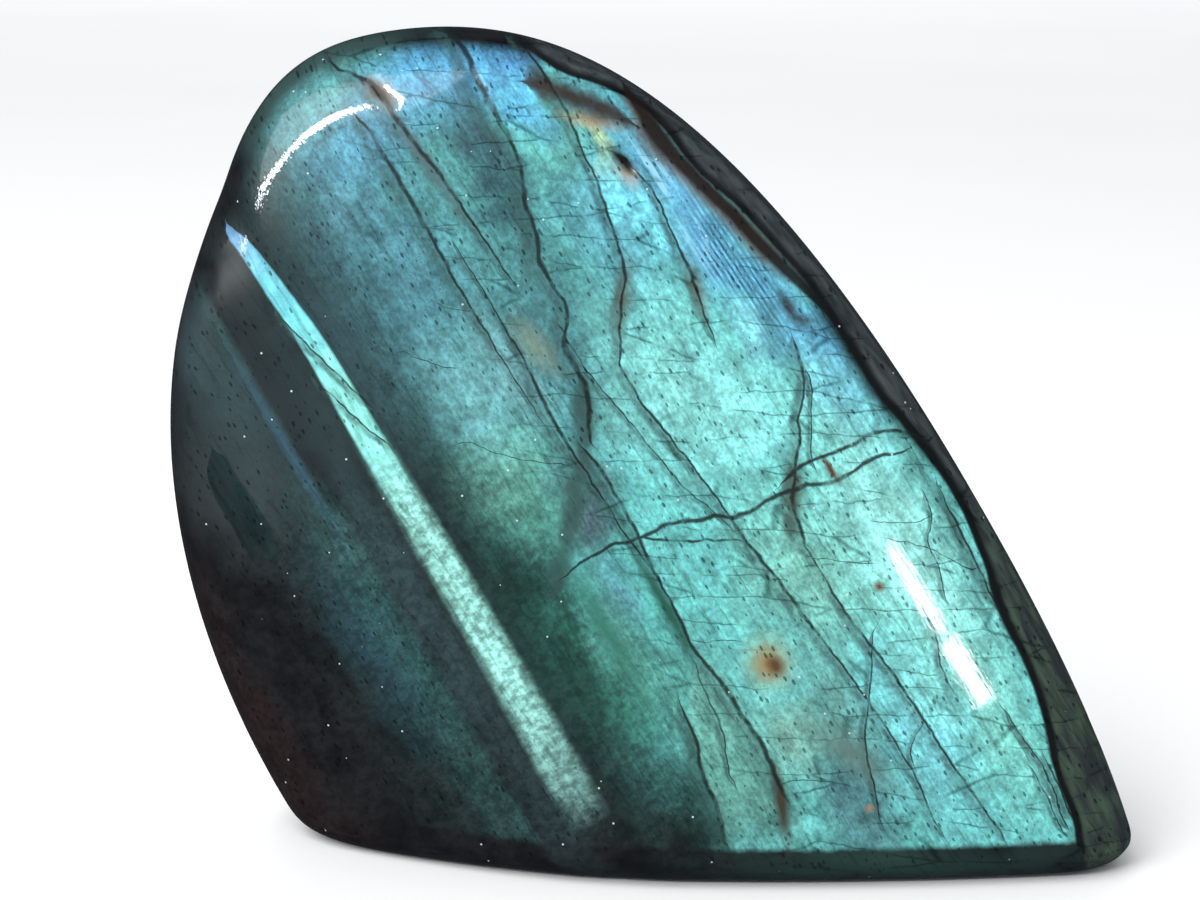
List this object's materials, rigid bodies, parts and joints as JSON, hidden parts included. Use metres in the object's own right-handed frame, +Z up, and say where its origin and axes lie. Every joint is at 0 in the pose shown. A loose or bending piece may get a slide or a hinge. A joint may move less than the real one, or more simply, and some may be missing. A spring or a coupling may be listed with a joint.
{
  "type": "labradorite freeform",
  "caption": "Polished free-standing slab of blue-green flashing stone with a leaning egg outline, a domed face and a flat sawn base.",
  "frame": {"origin": "on the flat sawn base, under the middle of the stone's bounding box", "axes": "+Z up; the polished show face looks towards -Y and +X is to its right; the long foot points to +X"},
  "size_m": [0.0959, 0.0323, 0.0821],
  "materials": {
    "polished_labradorite": "polished"
  },
  "bodies": {
    "root": {"stone": "polished_labradorite"}
  },
  "joints": []
}
